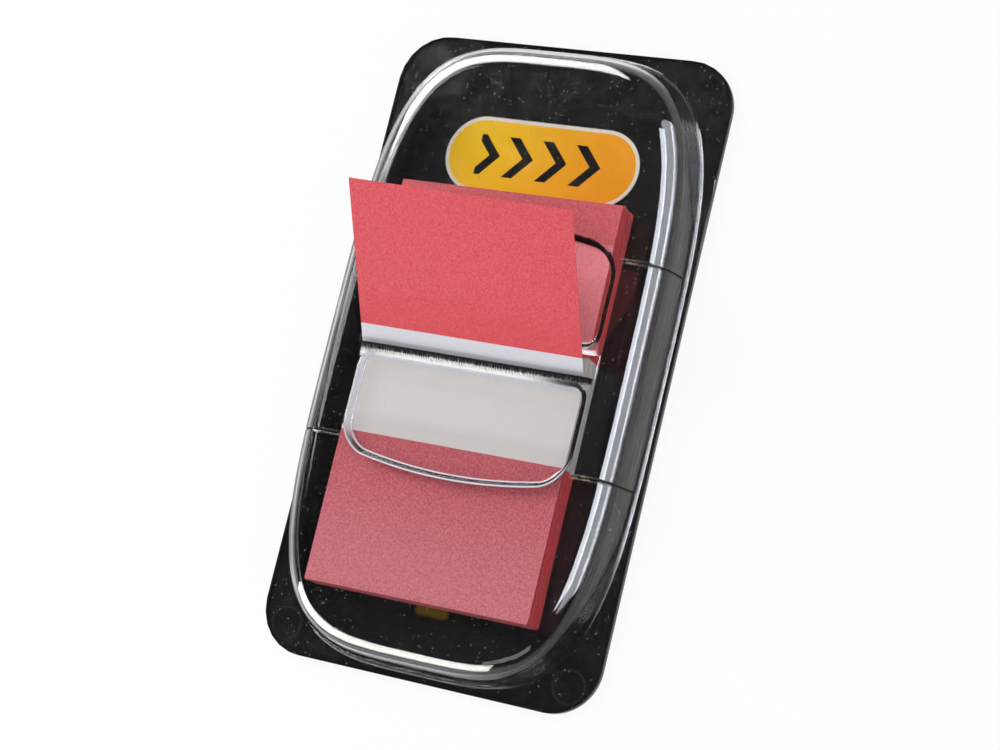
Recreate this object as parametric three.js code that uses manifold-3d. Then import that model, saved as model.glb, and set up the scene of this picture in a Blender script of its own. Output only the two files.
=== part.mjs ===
// A pocket dispenser of film page flags: a black card, a clear thermoformed cover with a slot,
// and a stack of red-tipped flags below it, with the top one drawn up through the slot.
// Millimetres. X runs across the card, Y along it, Z out of it. The card's back lies at Z = 0.

import * as THREE from 'three';
import * as BufferGeometryUtils from 'three/addons/utils/BufferGeometryUtils.js';
import Module from 'manifold-3d';

const wasm = await Module();
wasm.setup();

const degree = Math.PI / 180;

// Flags
const flagWidth = 25.4;
const flagLength = 43.2;
const filmThickness = 0.08;
const sheetsInStack = 48;
const filmGap = 0.01;
const sheetWander = 0.14;
const sheetOverlap = 0.02;

// Card and the sheet that the cover is formed from
const cardThickness = 0.5;
const cardCorner = 5.2;
const coverWall = 0.3;

// Room round the flags, and the flange past the foot of the dome
const sideRoom = 6.1;
const endRoom = 11.7;
const headRoom = 0.18;
const sideFlange = 0.5;
const endFlange = 0.8;

// Dome
const domeSquareness = 3.8;
const wallDraft = 12 * degree;
const domeEdgeRadius = 2.2;

// Slot, and the two sunk pads beside it
const slotGap = 2.4;
const slotEndRoom = 0.75;
const slotCorner = 0.3;
const slotLip = 0.5;
const padSideRoom = 0.3;
const padReach = 13.75;
const padDepth = 0.6;
const padSlope = 0.65;
const padCrown = 0.9;
const padNearCorner = 1.0;
const padFarCorner = 2.4;

// Scored creases across the sides, and the welds that hold the cover to the card
const creasePlace = 11.1;
const creaseWidth = 0.4;
const creaseDepth = 0.12;
const creaseStart = 0.25;
const weldRadius = 1.7;
const weldDepth = 0.1;
const weldInset = 3.0;

// How the stack has slid in the cover, and how the top flag stands up
const stackShift = -0.88;
const stackTurn = 0.31 * degree;
const stackCornerRoom = 1.2;
const stackLean = 0.4;
const poppedSlide = 0.3;
const poppedAngleLeft = 37.6 * degree;
const poppedAngleRight = 40.3 * degree;
const poppedBend = 1.2;
const lipClearance = 0.15;

// Heights that follow
const cardTop = cardThickness;
const flangeTop = cardTop + coverWall;
const stackTop = cardTop + sheetsInStack * filmThickness;
const nextFlagUnder = stackTop + filmGap;
const poppedUnder = nextFlagUnder + filmThickness + filmGap;
const poppedTop = poppedUnder + filmThickness;
const padUnder = poppedTop + headRoom;
const padFloor = padUnder + coverWall;
const domeTop = padFloor + padDepth;

// Half sizes that follow
const domeHalfWidth = flagWidth / 2 + sideRoom;
const domeHalfLength = flagLength / 2 + endRoom;
const cardHalfWidth = domeHalfWidth + sideFlange;
const cardHalfLength = domeHalfLength + endFlange;
const slotHalfLength = flagWidth / 2 + slotEndRoom;
const padHalfWidth = flagWidth / 2 + padSideRoom;
const padStart = slotGap / 2 + slotLip;

// How the sheets' places wander up the stack, in radians a sheet
const wanderAcross = 2.4;
const wanderAcrossBeat = 0.31;
const wanderAlong = 1.7;
const wanderAlongBeat = 0.23;
const wanderAlongStart = 0.6;

// Mesh detail
const domeSegments = 96;
const domeEdgeSteps = 7;
const curveSteps = 8;
const weldSteps = 24;
const flagStepsAcross = 6;
const flagStepsAlong = 72;
const mergeReach = 1e-5;
const cutThrough = 1;

// A closed geometry as a solid that can be joined and cut
function solidOf(geometry) {
  geometry.deleteAttribute('normal');
  geometry.deleteAttribute('uv');
  const merged = BufferGeometryUtils.mergeVertices(geometry, mergeReach);
  return new wasm.Manifold(new wasm.Mesh({
    numProp: 3,
    vertProperties: new Float32Array(merged.attributes.position.array),
    triVerts: new Uint32Array(merged.index.array),
  }));
}

function meshOf(name, solid, finish) {
  const result = solid.getMesh();
  const geometry = new THREE.BufferGeometry();
  geometry.setAttribute('position', new THREE.BufferAttribute(result.vertProperties, 3));
  geometry.setIndex(new THREE.BufferAttribute(result.triVerts, 1));
  geometry.computeVertexNormals();
  const mesh = new THREE.Mesh(geometry, new THREE.MeshStandardMaterial(finish));
  mesh.name = name;
  return mesh;
}

function roundedRectangle(halfX, halfY, radius) {
  const shape = new THREE.Shape();
  shape.absarc(halfX - radius, halfY - radius, radius, 0, Math.PI / 2);
  shape.absarc(radius - halfX, halfY - radius, radius, Math.PI / 2, Math.PI);
  shape.absarc(radius - halfX, radius - halfY, radius, Math.PI, Math.PI * 1.5);
  shape.absarc(halfX - radius, radius - halfY, radius, Math.PI * 1.5, Math.PI * 2);
  shape.closePath();
  return shape;
}

function plate(shape, bottom, top) {
  const geometry = new THREE.ExtrudeGeometry(shape, {
    depth: top - bottom,
    bevelEnabled: false,
    curveSegments: curveSteps,
  });
  geometry.translate(0, 0, bottom);
  return solidOf(geometry);
}

function block(low, high) {
  const geometry = new THREE.BoxGeometry(high[0] - low[0], high[1] - low[1], high[2] - low[2]);
  geometry.translate((low[0] + high[0]) / 2, (low[1] + high[1]) / 2, (low[2] + high[2]) / 2);
  return solidOf(geometry);
}

// The middle of the dome's rounded edge, as its inset from the foot and its height
const edgeHeight = domeTop - domeEdgeRadius;
const edgeInset = domeEdgeRadius / Math.cos(wallDraft) + (edgeHeight - flangeTop) * Math.tan(wallDraft);

// The dome's section as points of inset and height. A depth of zero is its outer face, and a
// depth of the cover's wall is its inner one.
function domeSection(depth) {
  const radius = domeEdgeRadius - depth;
  const section = [new THREE.Vector2(depth / Math.cos(wallDraft), flangeTop)];
  for (let step = 0; step <= domeEdgeSteps; step += 1) {
    const angle = wallDraft + (Math.PI / 2 - wallDraft) * (step / domeEdgeSteps);
    section.push(new THREE.Vector2(
      edgeInset - radius * Math.cos(angle),
      edgeHeight + radius * Math.sin(angle),
    ));
  }
  return section;
}

// How far in from the foot the face at this depth lies, at one height
function wallInset(height, depth) {
  const radius = domeEdgeRadius - depth;
  const arcStart = edgeHeight + radius * Math.sin(wallDraft);
  if (height > arcStart) {
    const angle = Math.asin(Math.min(1, (height - edgeHeight) / radius));
    return edgeInset - radius * Math.cos(angle);
  }
  return depth / Math.cos(wallDraft) + (height - flangeTop) * Math.tan(wallDraft);
}

// One rounded-square turn of a lathe, drawn out to the dome's plan
function domeSolid(depth, bottom) {
  const section = domeSection(depth);
  const foot = domeHalfWidth - section[0].x;
  const profile = [new THREE.Vector2(0, bottom), new THREE.Vector2(foot, bottom)];
  for (const point of section) profile.push(new THREE.Vector2(domeHalfWidth - point.x, point.y));
  profile.push(new THREE.Vector2(0, domeTop - depth));
  const geometry = new THREE.LatheGeometry(profile, domeSegments);
  geometry.rotateX(Math.PI / 2);
  const place = geometry.attributes.position;
  for (let i = 0; i < place.count; i += 1) {
    const radius = Math.hypot(place.getX(i), place.getY(i));
    if (radius > filmGap) {
      const across = place.getX(i) / radius;
      const along = place.getY(i) / radius;
      const halfLength = radius + domeHalfLength - domeHalfWidth;
      place.setX(i, radius * Math.sign(across) * Math.abs(across) ** (2 / domeSquareness));
      place.setY(i, halfLength * Math.sign(along) * Math.abs(along) ** (2 / domeSquareness));
    } else {
      place.setX(i, 0);
      place.setY(i, 0);
    }
  }
  return solidOf(geometry);
}

// One pad's floor: straight beside the slot and at its ends, and bowed on the far side
function padFloorOutline() {
  const side = padHalfWidth - padSlope;
  const near = padStart + padSlope;
  const far = padReach - padSlope;
  const bowEnd = side - padFarCorner;
  const bowEndY = far - padCrown;
  const cornerY = bowEndY - padFarCorner * 2 * padCrown / bowEnd;
  const shape = new THREE.Shape();
  shape.moveTo(padNearCorner - side, near);
  shape.lineTo(side - padNearCorner, near);
  shape.quadraticCurveTo(side, near, side, near + padNearCorner);
  shape.lineTo(side, cornerY - padFarCorner);
  shape.quadraticCurveTo(side, cornerY, bowEnd, bowEndY);
  shape.quadraticCurveTo(0, far + padCrown, -bowEnd, bowEndY);
  shape.quadraticCurveTo(-side, cornerY, -side, cornerY - padFarCorner);
  shape.lineTo(-side, near + padNearCorner);
  shape.quadraticCurveTo(-side, near, padNearCorner - side, near);
  return shape;
}

// The space over one pad. The cover keeps its wall on the slope when the lower face moves out
// by a little less than the wall.
function padSpace(depth) {
  const slopeAngle = Math.atan2(padDepth, padSlope);
  const geometry = new THREE.ExtrudeGeometry(padFloorOutline(), {
    depth: cutThrough,
    bevelThickness: padDepth,
    bevelSize: padSlope,
    bevelOffset: depth * Math.tan(slopeAngle / 2),
    bevelSegments: 1,
    curveSegments: curveSteps,
  });
  geometry.translate(0, 0, padFloor - depth + padDepth);
  return solidOf(geometry);
}

function bothPads(depth) {
  const upper = padSpace(depth);
  return upper.add(upper.rotate([0, 0, 180]));
}

function clearCover() {
  let flange = plate(roundedRectangle(cardHalfWidth, cardHalfLength, cardCorner), cardTop, flangeTop);
  for (const sideX of [-1, 1]) {
    for (const sideY of [-1, 1]) {
      const weld = new THREE.CylinderGeometry(weldRadius, weldRadius, weldDepth * 2, weldSteps);
      weld.rotateX(Math.PI / 2);
      weld.translate(sideX * (cardHalfWidth - weldInset), sideY * (cardHalfLength - weldInset), flangeTop);
      flange = flange.subtract(solidOf(weld));
    }
  }
  const outside = domeSolid(0, cardTop);
  const inside = domeSolid(coverWall, cardTop - cutThrough);
  const slot = plate(
    roundedRectangle(slotHalfLength, slotGap / 2, slotCorner), padUnder, domeTop + cutThrough,
  );
  let cover = flange.add(outside.subtract(bothPads(0)));
  cover = cover.subtract(inside.subtract(bothPads(coverWall))).subtract(slot);

  const belowCreases = domeSolid(creaseDepth, cardTop - cutThrough);
  const creaseEnd = padHalfWidth + creaseStart;
  for (const sideX of [-1, 1]) {
    for (const sideY of [-1, 1]) {
      const from = sideX * creaseEnd;
      const to = sideX * cardHalfWidth;
      const middle = sideY * creasePlace;
      const strip = block(
        [Math.min(from, to), middle - creaseWidth / 2, flangeTop + creaseDepth],
        [Math.max(from, to), middle + creaseWidth / 2, domeTop + cutThrough],
      );
      cover = cover.subtract(strip.subtract(belowCreases));
    }
  }
  return cover;
}

// The stack lies where its lower corners have slid up to the dome's rounded ones
const stackHalfSpan = flagWidth / 2 + Math.abs(stackShift) + sheetWander + stackLean;
const roomInset = wallInset(poppedTop, coverWall);
const acrossShare = stackHalfSpan / (domeHalfWidth - roomInset);
const cornerShare = (1 - acrossShare ** domeSquareness) ** (1 / domeSquareness);
const cornerReach = (domeHalfLength - roomInset) * cornerShare;
const stackLowEnd = stackCornerRoom - cornerReach;
const stackMiddle = stackLowEnd + flagLength / 2;

function turned(solid) {
  return solid.rotate([0, 0, stackTurn / degree]).translate([stackShift, stackMiddle, 0]);
}

// One flag lying flat about the stack's middle
function flatFlag(shiftX, shiftY, bottom, top) {
  return block(
    [shiftX - flagWidth / 2, shiftY - flagLength / 2, bottom],
    [shiftX + flagWidth / 2, shiftY + flagLength / 2, top],
  );
}

// Sheet by sheet, each a little out of line with the one below. The stack leans a little to the
// right as it rises.
function flagStack() {
  const sheets = [];
  for (let sheet = 0; sheet < sheetsInStack; sheet += 1) {
    const bottom = cardTop + sheet * filmThickness;
    const overlap = sheet === 0 ? 0 : sheetOverlap;
    const lean = stackLean * (sheet / (sheetsInStack - 1) - 1);
    const waveX = Math.sin(sheet * wanderAcross) * Math.cos(sheet * wanderAcrossBeat);
    const waveY = Math.sin(sheet * wanderAlong + wanderAlongStart) * Math.cos(sheet * wanderAlongBeat);
    const shiftX = lean + sheetWander * waveX;
    const shiftY = sheetWander * waveY;
    sheets.push(flatFlag(shiftX, shiftY, bottom - overlap, bottom + filmThickness));
  }
  return turned(wasm.Manifold.union(sheets));
}

// The top flag lies on the stack, bends up under the slot's lower lip and stands out of the
// slot, close to its left end. It stands a little steeper on the right than on the left.
function poppedFlag() {
  const middle = poppedUnder + filmThickness / 2;
  const lipY = -slotGap / 2;
  const lipHeight = domeTop - coverWall - middle;
  const geometry = new THREE.BoxGeometry(
    flagWidth, flagLength, filmThickness, flagStepsAcross, flagStepsAlong, 1,
  );
  const place = geometry.attributes.position;
  const start = stackLowEnd + poppedSlide;
  const shift = lipClearance - slotEndRoom;
  for (let i = 0; i < place.count; i += 1) {
    const x = place.getX(i);
    const across = x / flagWidth + 0.5;
    const angle = THREE.MathUtils.lerp(poppedAngleLeft, poppedAngleRight, across);
    const clear = lipClearance + filmThickness / 2;
    const foldY = lipY - (lipHeight * Math.cos(angle) - clear) / Math.sin(angle);
    const tangent = poppedBend * Math.tan(angle / 2);
    const flat = foldY - tangent - start;
    const run = place.getY(i) + flagLength / 2;
    const offset = place.getZ(i);
    const turn = THREE.MathUtils.clamp((run - flat) / poppedBend, 0, angle);
    const beyond = Math.max(0, run - flat - poppedBend * angle);
    const y = start + Math.min(run, flat) + (poppedBend - offset) * Math.sin(turn) + beyond * Math.cos(turn);
    const rise = poppedBend - (poppedBend - offset) * Math.cos(turn) + beyond * Math.sin(turn);
    place.setXYZ(i, x + shift, y, middle + rise);
  }
  return solidOf(geometry);
}

const dispenser = new THREE.Group();
dispenser.add(meshOf(
  'back_card',
  plate(roundedRectangle(cardHalfWidth, cardHalfLength, cardCorner), 0, cardTop),
  { color: '#1b1a1b', roughness: 0.25, metalness: 0 },
));
dispenser.add(meshOf(
  'clear_cover',
  clearCover(),
  { color: '#dfe6ea', roughness: 0.05, metalness: 0, transparent: true, opacity: 0.25 },
));
dispenser.add(meshOf(
  'flag_stack',
  flagStack(),
  { color: '#c9b4b3', roughness: 0.6, metalness: 0 },
));
dispenser.add(meshOf(
  'next_flag',
  turned(flatFlag(0, 0, nextFlagUnder, nextFlagUnder + filmThickness)),
  { color: '#cdcac7', roughness: 0.5, metalness: 0 },
));
dispenser.add(meshOf(
  'popped_flag',
  poppedFlag(),
  { color: '#de5561', roughness: 0.5, metalness: 0 },
));

export default dispenser;
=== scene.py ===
import math

import bmesh
import bpy
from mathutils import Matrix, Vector


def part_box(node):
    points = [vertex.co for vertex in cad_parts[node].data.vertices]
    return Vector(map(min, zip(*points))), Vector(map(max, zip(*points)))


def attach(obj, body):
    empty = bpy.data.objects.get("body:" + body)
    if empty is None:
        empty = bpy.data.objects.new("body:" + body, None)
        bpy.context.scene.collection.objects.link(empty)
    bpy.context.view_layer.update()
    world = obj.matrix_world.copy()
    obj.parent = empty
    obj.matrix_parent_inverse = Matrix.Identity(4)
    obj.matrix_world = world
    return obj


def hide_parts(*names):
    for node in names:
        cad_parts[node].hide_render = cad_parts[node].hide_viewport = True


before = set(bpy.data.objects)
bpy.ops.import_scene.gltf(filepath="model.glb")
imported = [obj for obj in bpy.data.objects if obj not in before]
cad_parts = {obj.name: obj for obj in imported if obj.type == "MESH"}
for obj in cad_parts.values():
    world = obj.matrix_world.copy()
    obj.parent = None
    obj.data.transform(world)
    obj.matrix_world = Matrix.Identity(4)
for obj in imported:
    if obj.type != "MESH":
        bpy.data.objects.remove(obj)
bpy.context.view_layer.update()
root = "root"
MM = 0.001


# The studio: a camera looking steeply down from the front right, a white sweep, and a surround
# that is dark overhead, so that level gloss stays black. Two lamps light the object. Bright
# panels stand low round it and show only in gloss, so that rounded edges catch bands of white.
camera = bpy.data.objects.new("camera", bpy.data.cameras.new("camera"))
camera.data.lens = 85.08
camera.data.sensor_width = 36
camera.data.clip_start = 0.01
camera.location = Vector((106.24, -38.18, 217.22)) * MM
camera.rotation_euler = [math.radians(turn) for turn in (14.8055, 23.1426, 14.7344)]
bpy.context.scene.collection.objects.link(camera)
bpy.context.scene.camera = camera
bpy.context.scene.view_settings.view_transform = "Standard"


class Wire:
    """A shader socket, or a bare node tree. Arithmetic on it adds Math nodes to the tree."""

    def __init__(self, tree, socket=None):
        self.tree = tree
        self.socket = socket

    def node(self, kind, settings=None, inputs=None, output=0):
        made = self.tree.nodes.new(kind)
        for name, value in (settings or {}).items():
            setattr(made, name, value)
        for name, value in (inputs or {}).items():
            socket = made.inputs[name]
            if isinstance(value, Wire):
                self.tree.links.new(value.socket, socket)
            elif socket.type == "RGBA":
                socket.default_value = (*value, 1)
            else:
                socket.default_value = value
        return Wire(self.tree, made.outputs[output] if made.outputs else None)

    def maths(self, operation, *values):
        return self.node("ShaderNodeMath", {"operation": operation}, dict(enumerate(values)))

    def __add__(self, other):
        return self.maths("ADD", self, other)

    def __radd__(self, other):
        return self.maths("ADD", other, self)

    def __sub__(self, other):
        return self.maths("SUBTRACT", self, other)

    def __rsub__(self, other):
        return self.maths("SUBTRACT", other, self)

    def __mul__(self, other):
        return self.maths("MULTIPLY", self, other)

    def __rmul__(self, other):
        return self.maths("MULTIPLY", other, self)

    def __abs__(self):
        return self.maths("ABSOLUTE", self)

    def __mod__(self, other):
        return self.maths("FLOORED_MODULO", self, other)

    def rise(self, low, high):
        """Goes smoothly from 0 at low to 1 at high."""
        ends = {"Value": self, "From Min": low, "From Max": high}
        return self.node("ShaderNodeMapRange", {"interpolation_type": "SMOOTHSTEP"}, ends)

    def step(self, place, soft):
        """Goes from 0 to 1 across this place."""
        return self.rise(place - soft, place + soft)

    def larger(self, other):
        return self.maths("MAXIMUM", self, other)

    def blend(self, share, first, second):
        sockets = {0: share, 6: first, 7: second}
        return self.node("ShaderNodeMix", {"data_type": "RGBA"}, sockets, 2)


def ray_kind(wire, name):
    return wire.node("ShaderNodeLightPath", output=name)


def shiny_ray(wire):
    return ray_kind(wire, "Is Glossy Ray").larger(ray_kind(wire, "Is Transmission Ray"))


def new_finish(name):
    material = bpy.data.materials.new(name)
    material.use_nodes = True
    material.node_tree.nodes.clear()
    return material, Wire(material.node_tree)


def close_finish(material, wire, surface):
    wire.node("ShaderNodeOutputMaterial", inputs={"Surface": surface})
    return material


SWEEP_WHITE = (0.9, 0.9, 0.9)
SWEEP_GLOW = 0.9


def sweep_finish():
    material, wire = new_finish("white_sweep")
    seen = ray_kind(wire, "Is Camera Ray").larger(shiny_ray(wire))
    paper = wire.node("ShaderNodeBsdfDiffuse", inputs={"Color": SWEEP_WHITE})
    glow = wire.node("ShaderNodeEmission", inputs={"Color": (1, 1, 1), "Strength": 1.0})
    surface = wire.node("ShaderNodeMixShader", inputs={0: seen * SWEEP_GLOW, 1: paper, 2: glow})
    return close_finish(material, wire, surface)


sweep_form = bmesh.new()
bmesh.ops.create_grid(sweep_form, x_segments=1, y_segments=1, size=3.0)
sweep_mesh = bpy.data.meshes.new("sweep")
sweep_form.to_mesh(sweep_mesh)
sweep_form.free()
sweep = bpy.data.objects.new("sweep", sweep_mesh)
sweep.data.materials.append(sweep_finish())
bpy.context.scene.collection.objects.link(sweep)


DARK_ABOVE = (0.06, 0.30)
OVERHEAD_DIMMING = 0.975
AMBIENT_LEVEL = 0.62
LAMP_DISTANCE = 0.62
LAMP_WATTS = 4


def surround():
    world = bpy.data.worlds.new("surround")
    bpy.context.scene.world = world
    world.use_nodes = True
    world.node_tree.nodes.clear()
    wire = Wire(world.node_tree)
    direction = wire.node("ShaderNodeTexCoord", output="Generated")
    height = wire.node("ShaderNodeSeparateXYZ", inputs={0: direction}, output="Z")
    mirrored = 1 - height.rise(*DARK_ABOVE) * OVERHEAD_DIMMING
    shiny = shiny_ray(wire)
    level = shiny * mirrored + (1 - shiny) * AMBIENT_LEVEL
    level = level.larger(ray_kind(wire, "Is Camera Ray"))
    sky = wire.node("ShaderNodeBackground", inputs={"Color": (1, 1, 1), "Strength": level})
    wire.node("ShaderNodeOutputWorld", inputs={"Surface": sky})


surround()


def softbox(name, azimuth, elevation, size, level, colour=(1, 1, 1), panel=False):
    """An area lamp aimed at the object. The level is how bright its face is."""
    lamp = bpy.data.lights.new(name, "AREA")
    lamp.shape = "RECTANGLE"
    lamp.size, lamp.size_y = size
    lamp.energy = level * LAMP_WATTS * size[0] * size[1]
    lamp.color = colour
    box = bpy.data.objects.new(name, lamp)
    flat = math.cos(math.radians(elevation))
    toward = Vector((
        flat * math.cos(math.radians(azimuth)),
        flat * math.sin(math.radians(azimuth)),
        math.sin(math.radians(elevation)),
    ))
    box.location = toward * LAMP_DISTANCE
    box.rotation_euler = (-toward).to_track_quat("-Z", "Y").to_euler()
    box.visible_diffuse = not panel
    box.visible_glossy = panel
    bpy.context.scene.collection.objects.link(box)


COOL = (0.88, 0.92, 1.0)
softbox("softbox_key", 157, 33, (0.30, 0.40), 4.6)
softbox("softbox_fill", -79, 34, (0.40, 0.16), 3.3)
softbox("panel_right", 18, 36, (0.80, 0.52), 4.0, COOL, panel=True)
softbox("strip_right_high", 22, 62, (0.60, 0.20), 11, COOL, panel=True)
softbox("strip_right_low", 18, 24, (0.80, 0.07), 9, COOL, panel=True)
softbox("strip_left", 176, 25, (0.50, 0.03), 3, COOL, panel=True)
softbox("panel_back", 131, 27, (0.56, 0.32), 12, panel=True)
softbox("panel_front", 232, 14, (0.84, 0.30), 12, (1.0, 0.97, 0.92), panel=True)


# The card: stiff board with a gloss black coating, cut with round corners. It carries a printed
# yellow lozenge above the stack, and a small one that mostly hides below it.
CARD_BLACK = (0.0075, 0.0072, 0.0078)
PRINT_YELLOW = (0.96, 0.60, 0.012)
PRINT_ORANGE = (0.93, 0.37, 0.010)
PRINT_PALE = (0.80, 0.77, 0.66)
LOZENGE_MIDDLE = (-0.4, 21.6)
LOZENGE_HALF = (11.2, 4.2)
LOZENGE_RIM = 0.4
CHEVRON_PITCH = 3.9
CHEVRON_SLANT = 0.9
CHEVRON_HALF_STROKE = (0.60, 0.66)
CHEVRON_HALF_HEIGHT = (2.2, 2.26)
CHEVRON_REACH = (7.4, 7.45)
LOW_DOT = ((-0.3, -26.8), (1.9, 0.5), 0.3)
LOW_DOT_SHARE = 0.12
CARD_FACE = (0.40, 0.49)
CARD_DUST = (1.7, 0.16, 0.4)
DUST_GREY = (0.35, 0.34, 0.33)


def millimetres(wire):
    """The place on the object in millimetres, and its three parts."""
    metres = wire.node("ShaderNodeTexCoord", output="Object")
    scaled = wire.node("ShaderNodeVectorMath", {"operation": "SCALE"}, {0: metres, "Scale": 1000})
    parts = [wire.node("ShaderNodeSeparateXYZ", inputs={0: scaled}, output=axis) for axis in "XYZ"]
    return scaled, *parts


def grain(wire, place, scale, detail=2.0, roughness=0.5):
    inputs = {"Vector": place, "Scale": scale, "Detail": detail, "Roughness": roughness}
    return wire.node("ShaderNodeTexNoise", inputs=inputs)


def specks(wire, place, scale, size, share):
    """Small round specks, in about this share of the cells."""
    cells = {"Vector": place, "Scale": scale}
    near = wire.node("ShaderNodeTexVoronoi", inputs=cells, output="Distance")
    tint = wire.node("ShaderNodeTexVoronoi", inputs=cells, output="Color")
    pick = wire.node("ShaderNodeSeparateColor", inputs={0: tint}, output=0)
    return (1 - near.rise(size * 0.5, size)) * (1 - pick.rise(share - 0.01, share))


def length_of(dx, dy):
    square = dx * dx + dy * dy
    return square.maths("SQRT", square)


def line_at(value, middle, half):
    """A line where a value is at its middle, solid to the first half width, gone by the second."""
    return 1 - abs(value - middle).rise(*half)


def pill(x, y, middle, half, soft=0.05):
    """A mask of a rounded bar."""
    across = (abs(x - middle[0]) - (half[0] - half[1])).larger(0)
    return 1 - length_of(across, y - middle[1]).step(half[1], soft)


def card_finish():
    material, wire = new_finish("gloss_black_card")
    place, x, y, z = millimetres(wire)
    rim = pill(x, y, LOZENGE_MIDDLE, LOZENGE_HALF)
    field = pill(x, y, LOZENGE_MIDDLE, [half - LOZENGE_RIM for half in LOZENGE_HALF])
    lean = abs(y - LOZENGE_MIDDLE[1]) * CHEVRON_SLANT + x
    stripe = line_at(lean % CHEVRON_PITCH, CHEVRON_PITCH / 2, CHEVRON_HALF_STROKE)
    ends = line_at(x, LOZENGE_MIDDLE[0], CHEVRON_REACH)
    bars = stripe * ends * line_at(y, LOZENGE_MIDDLE[1], CHEVRON_HALF_HEIGHT)
    dot = pill(x, y, *LOW_DOT) * LOW_DOT_SHARE
    shade = wire.blend(x.rise(-9, 9), PRINT_YELLOW, PRINT_ORANGE)
    colour = wire.blend(rim, CARD_BLACK, PRINT_PALE)
    colour = wire.blend(field, colour, shade)
    colour = wire.blend(bars, colour, CARD_BLACK)
    colour = wire.blend(dot, colour, PRINT_YELLOW)
    colour = wire.blend(z.rise(*CARD_FACE), CARD_BLACK, colour)
    colour = wire.blend(specks(wire, place, *CARD_DUST) * 0.5, colour, DUST_GREY)
    scuff = grain(wire, place, 0.45, 6.0, 0.7)
    surface = wire.node("ShaderNodeBsdfPrincipled", inputs={
        "Base Color": colour,
        "Roughness": scuff.rise(0.35, 0.75) * 0.10 + 0.12,
        "Normal": wire.node("ShaderNodeBump", inputs={
            "Height": grain(wire, place, 2.2, 3.0), "Strength": 0.3, "Distance": 0.000005,
        }),
    })
    return close_finish(material, wire, surface)


def dress(node, material):
    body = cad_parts[node]
    body.data.materials.clear()
    body.data.materials.append(material)


dress("back_card", card_finish())


# The stack: film flags laid alternately end for end, held by their tacky ends. Seen from the
# side each end is a pile of red lines. Its top sheet has its red end to the top.
CARD_TOP = 0.5
FILM = 0.08
FLAG_LENGTH = 43.2
FLAG_WIDTH = 25.4
TIP_LENGTH = 16.0
STACK_LOW, STACK_HIGH = (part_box("next_flag")[end][1] / MM for end in (0, 1))
LOW_RED_END = STACK_LOW + TIP_LENGTH
HIGH_RED_START = STACK_HIGH - TIP_LENGTH
HAZED_INK = ((0.38, 0.040, 0.058), (0.59, 0.140, 0.166))
HAZED_INK_PALE = ((0.50, 0.130, 0.155), (0.66, 0.240, 0.275))
HAZED_INK_FAR_PAINTED_LIGHTER = ((0.48, 0.055, 0.070), (0.74, 0.130, 0.150))
HAZED_INK_PAD_REFLECTION = ((0.82, 0.200, 0.240), (1.00, 0.340, 0.390))
EDGE_INK = ((0.50, 0.012, 0.018), (0.84, 0.044, 0.052))
END_SHADE = (0.26, 0.010, 0.018)
FILM_WHITE = ((0.640, 0.620, 0.600), (0.720, 0.705, 0.685))
GAP_SHADE = (0.16, 0.015, 0.02)
TOP_FACE = (4.325, 4.335)
SHEET_STRAY = 0.5
STRAY_SOFT = 0.03


def stack_finish():
    material, wire = new_finish("stacked_film")
    place, _, y, z = millimetres(wire)
    layer = (z - CARD_TOP) * (1 / FILM)
    sheet = layer.maths("FLOOR", layer)
    own = wire.node("ShaderNodeCombineXYZ", inputs={2: sheet * 0.37})
    tone = grain(wire, own, 9.0)
    edge = y + (tone - 0.5) * SHEET_STRAY
    low_red = 1 - edge.step(LOW_RED_END, STRAY_SOFT)
    high_red = edge.step(HIGH_RED_START, STRAY_SOFT)
    top = z.rise(*TOP_FACE)
    fibres = grain(wire, place, 4.0, 4.0, 0.75)
    hazed = wire.blend(fibres.rise(0.3, 0.7), *HAZED_INK)
    edges = wire.blend(tone.rise(0.3, 0.7) * 0.7 + fibres * 0.3, *EDGE_INK)
    # The stack's low end face is painted darker: a painted shadow on that side of the stack.
    edges = wire.blend(1 - y.rise(STACK_LOW + 0.1, STACK_LOW + 0.4), edges, END_SHADE)
    line = (abs(layer % 1 - 0.5)).rise(0.36, 0.5) * (1 - top)
    pale = wire.blend(fibres, *FILM_WHITE)
    colour = wire.blend(low_red + high_red, pale, edges)
    colour = wire.blend(line * 0.45, colour, GAP_SHADE)
    colour = wire.blend(top, colour, wire.blend(high_red, pale, hazed))
    surface = wire.node("ShaderNodeBsdfPrincipled", inputs={
        "Base Color": colour,
        "Roughness": 0.55,
        "Normal": wire.node("ShaderNodeBump", inputs={
            "Height": line, "Strength": 0.25, "Distance": 0.00002,
        }),
    })
    return close_finish(material, wire, surface)


dress("flag_stack", stack_finish())


# The flags themselves: frosted polyester film with one end printed red on its face. Where a bare
# end lies on a red one, the red shows through it, duller.
FROST = ((0.60, 0.565, 0.55), (0.68, 0.645, 0.63))
MOTTLE = (0.25, 0.75)
PRINT_SOFT = 0.04
PALER_OVER = (2, 16)
PALER_SHARE = 0.55
PAD_SHOWS_X = (12.1, 12.5)
PAD_SHOWS_FROM = (2.1, 2.5)
PAD_SHOWS_TO = (12.2, 13.0)


def film_tones(wire, place, y):
    """The film's grain, its bare frosted colour and the colour of print seen through it."""
    fine = grain(wire, place, 4.2, 3.0, 0.8)
    hazed = wire.blend(fine.rise(*MOTTLE), *HAZED_INK)
    hazed_pale = wire.blend(fine.rise(0.3, 0.7), *HAZED_INK_PALE)
    paler = (LOW_RED_END - y).rise(*PALER_OVER) * PALER_SHARE
    return fine, wire.blend(fine, *FROST), wire.blend(paler, hazed, hazed_pale)


def film_surface(wire, fine, colour):
    bump = wire.node("ShaderNodeBump", inputs={
        "Height": fine, "Strength": 0.5, "Distance": 0.00007,
    })
    return wire.node("ShaderNodeBsdfPrincipled", inputs={
        "Base Color": colour,
        "Roughness": 0.6,
        "Specular IOR Level": 0.15,
        "Normal": bump,
    })


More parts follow.
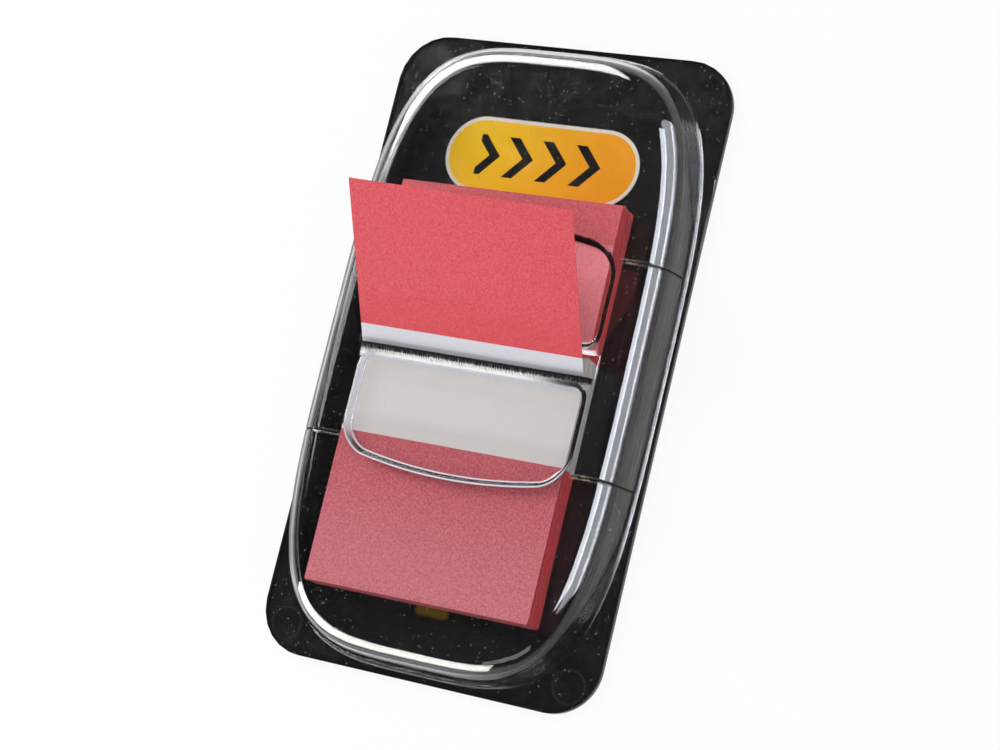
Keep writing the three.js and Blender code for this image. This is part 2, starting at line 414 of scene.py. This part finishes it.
def next_flag_finish():
    material, wire = new_finish("next_flag_film")
    place, x, y, _ = millimetres(wire)
    low_red = 1 - y.step(LOW_RED_END, PRINT_SOFT)
    high_red = y.step(HIGH_RED_START, PRINT_SOFT)
    fine, frost, hazed = film_tones(wire, place, y)
    # The red seen through the film at the far end is the real hazed print, painted lighter to offset the
    # drawn flag's shadow: painted light.
    far = wire.blend(fine.rise(*MOTTLE), *HAZED_INK_FAR_PAINTED_LIGHTER)
    # Under the upper pad the red is painted lighter and pinker: a painted reflection of the drawn flag's
    # underside in the pad.
    pad_reflection_place = (1 - abs(x).rise(*PAD_SHOWS_X)) * y.rise(*PAD_SHOWS_FROM) * (1 - y.rise(*PAD_SHOWS_TO))
    far = wire.blend(pad_reflection_place, far, wire.blend(fine.rise(*MOTTLE), *HAZED_INK_PAD_REFLECTION))
    colour = wire.blend(high_red, wire.blend(low_red, frost, hazed), far)
    return close_finish(material, wire, film_surface(wire, fine, colour))


dress("next_flag", next_flag_finish())


# The drawn flag: it lies on the stack, bends up under the slot's lower lip and stands out of
# the slot, a little steeper on the right. Its red end is the part that stands up.
SLOT_HALF_GAP = 1.2
SLOT_END_ROOM = 0.75
LIP_CLEARANCE = 0.15
COVER_WALL = 0.3
DOME_TOP = 5.6
DRAWN_UNDER = 4.44
DRAWN_BEND = 1.2
DRAWN_ANGLES = (math.radians(37.6), math.radians(40.3))
DRAWN_INK = ((0.58, 0.010, 0.026), (0.76, 0.088, 0.122))
DRAWN_INK_DEEP = (0.62, 0.010, 0.028)
DEEP_REACH = 6
DEEP_SHARE = 0.4
STRIP_WHITE = (0.66, 0.66, 0.72)
STRIP_START = (23.0, 23.8)


def drawn_place(across, run, low_end):
    """Where a point of the flat film goes: across from -0.5 to 0.5, run from the tacky end."""
    angle = DRAWN_ANGLES[0] + (DRAWN_ANGLES[1] - DRAWN_ANGLES[0]) * (across + 0.5)
    middle = DRAWN_UNDER + FILM / 2
    rise = DOME_TOP - COVER_WALL - middle
    clear = LIP_CLEARANCE + FILM / 2
    fold = -SLOT_HALF_GAP - (rise * math.cos(angle) - clear) / math.sin(angle)
    flat = fold - DRAWN_BEND * math.tan(angle / 2) - low_end
    turn = min(max((run - flat) / DRAWN_BEND, 0), angle)
    beyond = max(0, run - flat - DRAWN_BEND * angle)
    y = low_end + min(run, flat) + DRAWN_BEND * math.sin(turn) + beyond * math.cos(turn)
    z = middle + DRAWN_BEND * (1 - math.cos(turn)) + beyond * math.sin(turn)
    return Vector((across * FLAG_WIDTH + LIP_CLEARANCE - SLOT_END_ROOM, y, z)) * MM


def new_piece(name, form, material):
    mesh = bpy.data.meshes.new(name)
    form.to_mesh(mesh)
    form.free()
    mesh.materials.append(material)
    piece = bpy.data.objects.new(name, mesh)
    bpy.context.scene.collection.objects.link(piece)
    for face in mesh.polygons:
        face.use_smooth = True
    return piece


def drawn_flag_finish():
    material, wire = new_finish("drawn_flag_film")
    place, _, y, _ = millimetres(wire)
    length = wire.node("ShaderNodeUVMap", {"uv_map": "UVMap"})
    along = wire.node("ShaderNodeSeparateXYZ", inputs={0: length}, output="Y") * FLAG_LENGTH
    printed = FLAG_LENGTH - TIP_LENGTH
    red = along.step(printed, PRINT_SOFT)
    low_red = 1 - y.step(LOW_RED_END, PRINT_SOFT)
    fine, frost, hazed = film_tones(wire, place, y)
    deep = (1 - along.rise(printed, printed + DEEP_REACH)) * DEEP_SHARE
    ink = wire.blend(deep, wire.blend(fine.rise(*MOTTLE), *DRAWN_INK), DRAWN_INK_DEEP)
    bare = wire.blend(low_red, frost, hazed)
    bare = wire.blend(along.rise(*STRIP_START), bare, STRIP_WHITE)
    return close_finish(material, wire, film_surface(wire, fine, wire.blend(red, bare, ink)))


drawn_form = bmesh.new()
drawn_form.loops.layers.uv.new("UVMap")
bmesh.ops.create_grid(drawn_form, x_segments=24, y_segments=240, size=0.5, calc_uvs=True)
drawn_low_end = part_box("popped_flag")[0][1] / MM
for corner in drawn_form.verts:
    corner.co = drawn_place(corner.co.x, (corner.co.y + 0.5) * FLAG_LENGTH, drawn_low_end)
bmesh.ops.solidify(drawn_form, geom=drawn_form.faces[:], thickness=FILM * MM)
bmesh.ops.recalc_face_normals(drawn_form, faces=drawn_form.faces[:])
drawn_flag = new_piece("drawn_flag", drawn_form, drawn_flag_finish())
drawn_flag.data.set_sharp_from_angle(angle=math.radians(40))
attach(drawn_flag, root)
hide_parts("popped_flag")


# The cover: one sheet of clear film drawn over a mould. It has a welded flange, a low dome with
# drafted walls, a pad sunk at each side of the slot, and a scored crease at each end of them.
FLANGE_TOP = 0.83
DOME_HALF_WIDTH = 18.8
DOME_HALF_LENGTH = 33.3
DOME_SQUARENESS = 3.8
WALL_DRAFT = math.radians(12)
EDGE_RADIUS = 2.8
FOOT_RADIUS = 0.5
CARD_HALF_WIDTH = 19.3
CARD_HALF_LENGTH = 34.1
CARD_CORNER = 5.2
SLOT_HALF_LENGTH = 13.45
PAD_HALF_WIDTH = 13.0
PAD_NEAR = 1.7
PAD_FAR = 13.75
PAD_DEPTH = 0.68
PAD_SLOPE = 0.65
PAD_CORNERS = (1.8, 3.2)
PAD_CROWN = 0.9
PAD_BOW_END = 9.8
CREASE_PLACE = 11.1
WELD_PLACE = (16.3, 31.1)
CREASE_DEPTH = 0.07
CREASE_HALF_WIDTH = 0.2
CREASE_FADE = 0.3
LIP_FLARE = 0.22
LIP_FADE = 0.8
BOW_START = 3
BOW_FADE = 8
CORNER_STEPS = 24
DOME_END_STEPS = 160
PATCH_HALF_WIDTH = 13.75
PATCH_HALF_LENGTH = 14.6


def smooth(value):
    value = min(max(value, 0), 1)
    return value * value * (3 - 2 * value)


def lines(*spans):
    """Grid lines from 0 outwards, each span given by its end and its step, and their mirror."""
    places = [0.0]
    for end, step in spans:
        count = max(1, round((end - places[-1]) / step))
        start = places[-1]
        places += [start + (end - start) * (n + 1) / count for n in range(count)]
    return [-place for place in reversed(places[1:])] + places


PATCH_COLUMNS = lines((11.9, 0.5), (SLOT_HALF_LENGTH, 0.09), (PATCH_HALF_WIDTH, 0.15))
PATCH_ROWS = lines((SLOT_HALF_GAP, 0.4), (2.8, 0.1), (11.4, 0.7), (14.3, 0.1), (PATCH_HALF_LENGTH, 0.15))


def bow(x, row):
    """How far a row bends in at its ends, which follows the pads' bowed far side."""
    return PAD_CROWN * (x / PAD_BOW_END) ** 2 * smooth((abs(row) - BOW_START) / BOW_FADE)


def formed_height(x, row):
    """The height of the sheet over the slot and pads."""
    corner = PAD_CORNERS[1] if abs(row) > (PAD_NEAR + PAD_FAR) / 2 else PAD_CORNERS[0]
    half = (PAD_FAR - PAD_NEAR) / 2
    dx = abs(x) - PAD_HALF_WIDTH + corner
    dy = abs(abs(row) - (PAD_NEAR + PAD_FAR) / 2) - half + corner
    outside = math.hypot(max(dx, 0), max(dy, 0)) + min(max(dx, dy), 0) - corner
    sunk = PAD_DEPTH * smooth(-outside / PAD_SLOPE)
    lip = smooth((PAD_NEAR - abs(row)) / (PAD_NEAR - SLOT_HALF_GAP))
    end = smooth((SLOT_HALF_LENGTH - abs(x)) / LIP_FADE)
    return DOME_TOP - sunk + LIP_FLARE * lip * end


def dome_point(inset, part):
    """A point of the dome's plan at this inset: on a side at a given Y, or round an end."""
    half_width = DOME_HALF_WIDTH - inset
    half_length = DOME_HALF_LENGTH - inset
    kind, sign, amount = part
    if kind == "side":
        x = half_width * (1 - abs(amount / half_length) ** DOME_SQUARENESS) ** (1 / DOME_SQUARENESS)
        return sign * x, amount
    start, share = amount
    power = 2 / DOME_SQUARENESS
    first = math.asin((start / half_length) ** (1 / power))
    path = []
    for n in range(DOME_END_STEPS + 1):
        angle = first + (math.pi - 2 * first) * n / DOME_END_STEPS
        x = math.copysign(abs(math.cos(angle)) ** power, math.cos(angle))
        path.append((half_width * x, half_length * math.sin(angle) ** power))
    return point_along(path, share, sign)


def point_along(path, share, sign):
    """The point at a share of a path's length, with Y given this sign."""
    spans = [math.dist(a, b) for a, b in zip(path, path[1:])]
    left = share * sum(spans)
    for (a, b), span in zip(zip(path, path[1:]), spans):
        if left <= span or (a, b) == (path[-2], path[-1]):
            t = min(left / span, 1)
            return a[0] + (b[0] - a[0]) * t, sign * (a[1] + (b[1] - a[1]) * t)
        left -= span
    raise ValueError("share is past the end")


def card_point(part):
    """The matching point of the flange's edge."""
    kind, sign, amount = part
    if kind == "side":
        return sign * CARD_HALF_WIDTH, amount
    start, share = amount
    turn_x = CARD_HALF_WIDTH - CARD_CORNER
    turn_y = CARD_HALF_LENGTH - CARD_CORNER
    path = [(CARD_HALF_WIDTH, start)]
    for n in range(CORNER_STEPS + 1):
        angle = math.pi / 2 * n / CORNER_STEPS
        path.append((turn_x + CARD_CORNER * math.cos(angle), turn_y + CARD_CORNER * math.sin(angle)))
    path += [(-x, y) for x, y in reversed(path)]
    return point_along(path, share, sign)


def arc_point(inset, height, radius, angle):
    """A point of a rounded edge with this middle. A radius below 0 bends the other way."""
    return inset - radius * math.cos(angle), height + radius * math.sin(angle)


def dome_rings():
    """Insets and heights down the dome from the start of its rounded edge to its foot."""
    edge_steps, wall_steps, foot_steps = 16, 6, 6
    slope = math.tan(WALL_DRAFT)
    height = DOME_TOP - EDGE_RADIUS
    inset = EDGE_RADIUS / math.cos(WALL_DRAFT) + (height - FLANGE_TOP) * slope
    rings = []
    for n in range(edge_steps + 1):
        angle = math.pi / 2 + (WALL_DRAFT - math.pi / 2) * n / edge_steps
        rings.append(arc_point(inset, height, EDGE_RADIUS, angle))
    height = FLANGE_TOP + FOOT_RADIUS
    inset = (height - FLANGE_TOP) * slope - FOOT_RADIUS / math.cos(WALL_DRAFT)
    start = rings[-1]
    end = arc_point(inset, height, -FOOT_RADIUS, WALL_DRAFT)
    for n in range(1, wall_steps + 1):
        t = n / wall_steps
        rings.append((start[0] + (end[0] - start[0]) * t, start[1] + (end[1] - start[1]) * t))
    for n in range(1, foot_steps + 1):
        angle = WALL_DRAFT + (math.pi / 2 - WALL_DRAFT) * n / foot_steps
        rings.append(arc_point(inset, height, -FOOT_RADIUS, angle))
    return rings


def stage_point(kind, amount, part, start, rings):
    """Where a border point goes next: over the flat top, down the dome, or out over the flange."""
    if kind == "dome":
        return (*dome_point(amount[0], part), amount[1])
    if kind == "flat":
        (x, y), (end_x, end_y), z = start, dome_point(rings[0][0], part), DOME_TOP
    else:
        (x, y), (end_x, end_y), z = dome_point(rings[-1][0], part), card_point(part), FLANGE_TOP
    return x + (end_x - x) * amount, y + (end_y - y) * amount, z


def in_slot(face):
    middle = face.calc_center_median()
    return abs(middle.x) < SLOT_HALF_LENGTH and abs(middle.y) < SLOT_HALF_GAP


def patch_form():
    """The top round the slot and pads, and the part of the outline that each border point is on."""
    form = bmesh.new()
    columns = len(PATCH_COLUMNS) - 1
    rows = len(PATCH_ROWS) - 1
    bmesh.ops.create_grid(form, x_segments=columns, y_segments=rows, size=1)
    part_of = {}
    last_row = PATCH_ROWS[-1]
    corner_y = last_row - bow(PATCH_HALF_WIDTH, last_row)
    for vert in form.verts:
        x = PATCH_COLUMNS[round((vert.co.x + 1) / 2 * columns)]
        row = PATCH_ROWS[round((vert.co.y + 1) / 2 * rows)]
        y = row - math.copysign(bow(x, row), row)
        if vert.is_boundary and abs(row) == last_row:
            share = (PATCH_HALF_WIDTH - x) / (2 * PATCH_HALF_WIDTH)
            part_of[vert] = ("end", math.copysign(1, row), (corner_y, share))
        elif vert.is_boundary:
            part_of[vert] = ("side", math.copysign(1, x), y)
        vert.co = (x, y, formed_height(x, row))
    return form, part_of


def cover_form():
    form, part_of = patch_form()
    border = [edge for edge in form.edges if edge.is_boundary]
    hole = [face for face in form.faces if in_slot(face)]
    bmesh.ops.delete(form, geom=hole, context="FACES")

    rings = dome_rings()
    flat_steps, flange_steps = 5, 6
    stages = [("flat", (n + 1) / flat_steps) for n in range(flat_steps)]
    stages += [("dome", ring) for ring in rings[1:]]
    stages += [("flange", (n + 1) / flange_steps) for n in range(flange_steps)]
    home = {vert: (vert.co.x, vert.co.y) for vert in part_of}
    for kind, amount in stages:
        made = bmesh.ops.extrude_edge_only(form, edges=border)["geom"]
        border = [item for item in made if isinstance(item, bmesh.types.BMEdge) and item.is_boundary]
        next_parts = {}
        next_home = {}
        for vert in {vert: None for edge in border for vert in edge.verts}:
            linked = [edge.other_vert(vert) for edge in vert.link_edges]
            before = min(
                (other for other in linked if other in part_of),
                key=lambda other: (other.co - vert.co).length,
            )
            next_parts[vert] = part_of[before]
            next_home[vert] = home[before]
        for vert, part in next_parts.items():
            vert.co = stage_point(kind, amount, part, next_home[vert], rings)
        part_of = next_parts
        home = next_home
    return form


def score(form):
    """Presses the four creases into the sides."""
    form.normal_update()
    for vert in form.verts:
        away = abs(abs(vert.co.y) - CREASE_PLACE) / CREASE_HALF_WIDTH
        on_side = smooth((abs(vert.co.x) - PAD_HALF_WIDTH - 0.1) / CREASE_FADE)
        above = smooth((vert.co.z - FLANGE_TOP) / CREASE_FADE)
        if away < 1:
            vert.co -= vert.normal * CREASE_DEPTH * (1 - smooth(away)) * on_side * above


def pad_inward(x, y):
    """How far inside a pad's outline a point lies."""
    along = abs(y)
    bend = x * (1 / PAD_BOW_END)
    row = along + bend * bend * (along - BOW_START).rise(0, BOW_FADE) * PAD_CROWN
    middle = (PAD_NEAR + PAD_FAR) / 2
    corner = row.step(middle, 0.1) * (PAD_CORNERS[1] - PAD_CORNERS[0]) + PAD_CORNERS[0]
    dx = (abs(x) + corner - PAD_HALF_WIDTH).larger(0)
    dy = (abs(row - middle) + corner - (PAD_FAR - PAD_NEAR) / 2).larger(0)
    return corner - length_of(dx, dy)


STREAK_DEPTH = 0.014
WAVE_DEPTH = 0.012
WELD_PRESS = 0.003
WELD_EDGE = (1.62, 1.80)
RIM_INSET = 0.30
RIM_HALF = (0.16, 0.30)
COMB_DEPTH = 0.75
FILM_SPECKS = (1.3, 0.12, 0.4)
PAINTED_SHADE_BLACK = (0.012, 0.012, 0.012)
PAINTED_HIGHLIGHT_WHITE = (0.86, 0.88, 0.97)
SCRATCH_GREY = (0.55, 0.54, 0.52)
PAINTED_GLINT_GOLD = (0.46, 0.36, 0.17)


def clear_film(wire, place, x, y, z, from_weld):
    """The bare film: streaked along its walls, pressed at its welds and dull round the slot."""
    drawn_out = wire.node("ShaderNodeCombineXYZ", inputs={1: y * 0.04, 2: z * 2.2})
    streaks = grain(wire, drawn_out, 1.0, 2.0) * STREAK_DEPTH
    wave = grain(wire, place, 0.16, 2.0) * WAVE_DEPTH
    height = streaks + wave - (1 - from_weld.rise(*WELD_EDGE)) * WELD_PRESS
    by_slot = (1 - abs(y).rise(2.3, 2.7)) * (1 - abs(x).rise(12.9, 13.3))
    glass = wire.node("ShaderNodeBsdfPrincipled", inputs={
        "Base Color": (0.985, 0.99, 0.99),
        "Roughness": by_slot * 0.32 + 0.03,
        "IOR": 1.42,
        "Transmission Weight": 1.0,
        "Normal": wire.node("ShaderNodeBump", inputs={
            "Height": height, "Strength": 1.0, "Distance": MM,
        }),
    })
    open_air = wire.node("ShaderNodeBsdfTransparent", inputs={"Color": (0.985, 0.988, 0.99)})
    passing = ray_kind(wire, "Is Shadow Ray").larger(ray_kind(wire, "Is Diffuse Ray"))
    return wire.node("ShaderNodeMixShader", inputs={0: passing, 1: glass, 2: open_air})


def by_crease(x, y, z):
    """How far a point is from a crease's line, and whether it is beside the pads."""
    return abs(abs(y) - CREASE_PLACE), abs(x).rise(13.1, 13.5) * z.rise(0.9, 1.1)


def painted_shade_lines(wire, x, y, z, inward, on_top):
    """How much of the film is painted black shade, standing in for refraction: pad rims, the comb at the
    slot, creases, walls and edges.
    """
    # Painted shade: a dark line round each pad's wall, heavier on the right and far sides.
    far = x.rise(5.5, 12.5).larger(y.rise(8.5, 12)).larger((0 - y).rise(9.5, 13) * 0.6)
    rim = line_at(inward, RIM_INSET, RIM_HALF) * (far * 0.85 + 0.10)
    # Painted shade: a fuzzy dark comb under the slot's lower lip.
    below = 0 - y - SLOT_HALF_GAP
    teeth = wire.node("ShaderNodeCombineXYZ", inputs={0: x * 7.5, 1: y * 1.1})
    teeth = grain(wire, teeth, 1.0, 4.0, 0.8).rise(0.30, 0.70) * COMB_DEPTH
    comb = (1 - (below - teeth).rise(0.0, 0.35)) * below.rise(-0.4, -0.2)
    comb = comb * (1 - abs(x).rise(13.1, 13.4)) * 0.92
    from_crease, beside = by_crease(x, y, z)
    # Painted shade along each crease.
    crease = (1 - from_crease.rise(0.05, 0.14)) * beside * 0.8
    # Painted streaks of shade along the walls, heavier on the left.
    left = (0 - x).rise(14.0, 16.5)
    threads = wire.node("ShaderNodeCombineXYZ", inputs={1: y * 0.06, 2: z * 5.0})
    threads = (grain(wire, threads, 1.0, 3.0, 0.7) + left * 0.1).rise(0.46, 0.60)
    on_wall = z.rise(1.0, 1.4) * (1 - z.rise(4.2, 4.9))
    wall_streak_shade = threads * on_wall * (left * 0.6 + 0.25)
    # Painted shade along the flange's cut edge, and at the foot of the lower end.
    corner_x = (abs(x) + CARD_CORNER - CARD_HALF_WIDTH).larger(0)
    corner_y = (abs(y) + CARD_CORNER - CARD_HALF_LENGTH).larger(0)
    cut_edge_shade = (length_of(corner_x, corner_y) - CARD_CORNER).rise(-0.14, -0.06) * 0.85
    foot = z.rise(0.84, 0.90) * (1 - z.rise(1.1, 1.6)) * (0 - y).rise(14, 22) * 0.75
    return (rim.larger(comb) * on_top).larger(crease).larger(wall_streak_shade).larger(cut_edge_shade).larger(foot)


def pale_marks_and_highlights(wire, place, x, y, z, inward, on_top, from_weld):
    """How much of the film is pale: painted glints, weld rings, dust specks, scratches and painted
    highlight lines on the pad walls. Its colour.
    """
    from_crease, beside = by_crease(x, y, z)
    # Painted glints: a pale line beside each crease, and gold glints near the creases on the right.
    glint_specks = grain(wire, place, 2.6, 3.0).rise(0.50, 0.58) * x.rise(0, 1) * (1 - x.rise(15.0, 15.8))
    glint = line_at(from_crease, 0.2, (0.03, 0.10)) * beside * 0.06
    glint = glint + (1 - from_crease.rise(0.1, 0.3)) * beside * glint_specks * 0.6
    ring = line_at(from_weld, 1.7, (0.04, 0.14)) * 0.015
    over_pad = inward.rise(0.0, 0.6) * on_top
    marks = specks(wire, place, *FILM_SPECKS) * (1 - over_pad * 0.85) * 0.4
    # Painted highlight lines just inside the dark rims: along the left pad walls and round the lower
    # pad.
    left_highlight = line_at(inward, 0.36, (0.10, 0.24)) * (0 - x).rise(11.0, 12.6) * 0.9
    low_highlights = line_at(abs(inward - RIM_INSET), 0.27, (0.05, 0.14)) * (0 - y).rise(8.5, 12.0) * 0.9
    pad_highlights = left_highlight.larger(low_highlights) * on_top
    hair = wire.node("ShaderNodeCombineXYZ", inputs={0: x * 2.6 + y * 1.1, 1: y * 0.22 - x * 0.1})
    scratches = grain(wire, hair, 1.0, 5.0, 0.7).rise(0.66, 0.73) * 0.10
    share = glint.larger(marks).larger(ring).larger(scratches).larger(pad_highlights)
    gold_glint = beside * (1 - from_crease.rise(0.3, 0.4)) * glint_specks
    tint = wire.blend(gold_glint, SCRATCH_GREY, PAINTED_GLINT_GOLD)
    return share, wire.blend(pad_highlights, tint, PAINTED_HIGHLIGHT_WHITE)


def cover_finish():
    material, wire = new_finish("clear_formed_film")
    place, x, y, z = millimetres(wire)
    on_top = z.rise(4.5, 4.7)
    inward = pad_inward(x, y)
    from_weld = length_of(abs(x) - WELD_PLACE[0], abs(y) - WELD_PLACE[1])
    clear = clear_film(wire, place, x, y, z, from_weld)
    # Pale dust, scratches and weld rings, with painted glints and painted highlights.
    marks_and_highlight_share, tint = pale_marks_and_highlights(wire, place, x, y, z, inward, on_top, from_weld)
    pale = wire.node("ShaderNodeBsdfDiffuse", inputs={"Color": tint})
    surface = wire.node("ShaderNodeMixShader", inputs={0: marks_and_highlight_share, 1: clear, 2: pale})
    # Painted black shade over the film, standing in for refraction at the rims, slot, creases, walls and
    # edges.
    painted_shade_share = painted_shade_lines(wire, x, y, z, inward, on_top)
    dark = wire.node("ShaderNodeBsdfDiffuse", inputs={"Color": PAINTED_SHADE_BLACK})
    surface = wire.node("ShaderNodeMixShader", inputs={0: painted_shade_share, 1: surface, 2: dark})
    return close_finish(material, wire, surface)


formed = cover_form()
score(formed)
bmesh.ops.scale(formed, vec=(MM, MM, MM), verts=formed.verts[:])
formed.normal_update()
bmesh.ops.solidify(formed, geom=formed.faces[:], thickness=COVER_WALL * MM)
bmesh.ops.recalc_face_normals(formed, faces=formed.faces[:])
formed_cover = new_piece("formed_cover", formed, cover_finish())
formed_cover.data.set_sharp_from_angle(angle=math.radians(55))
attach(formed_cover, root)
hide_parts("clear_cover")
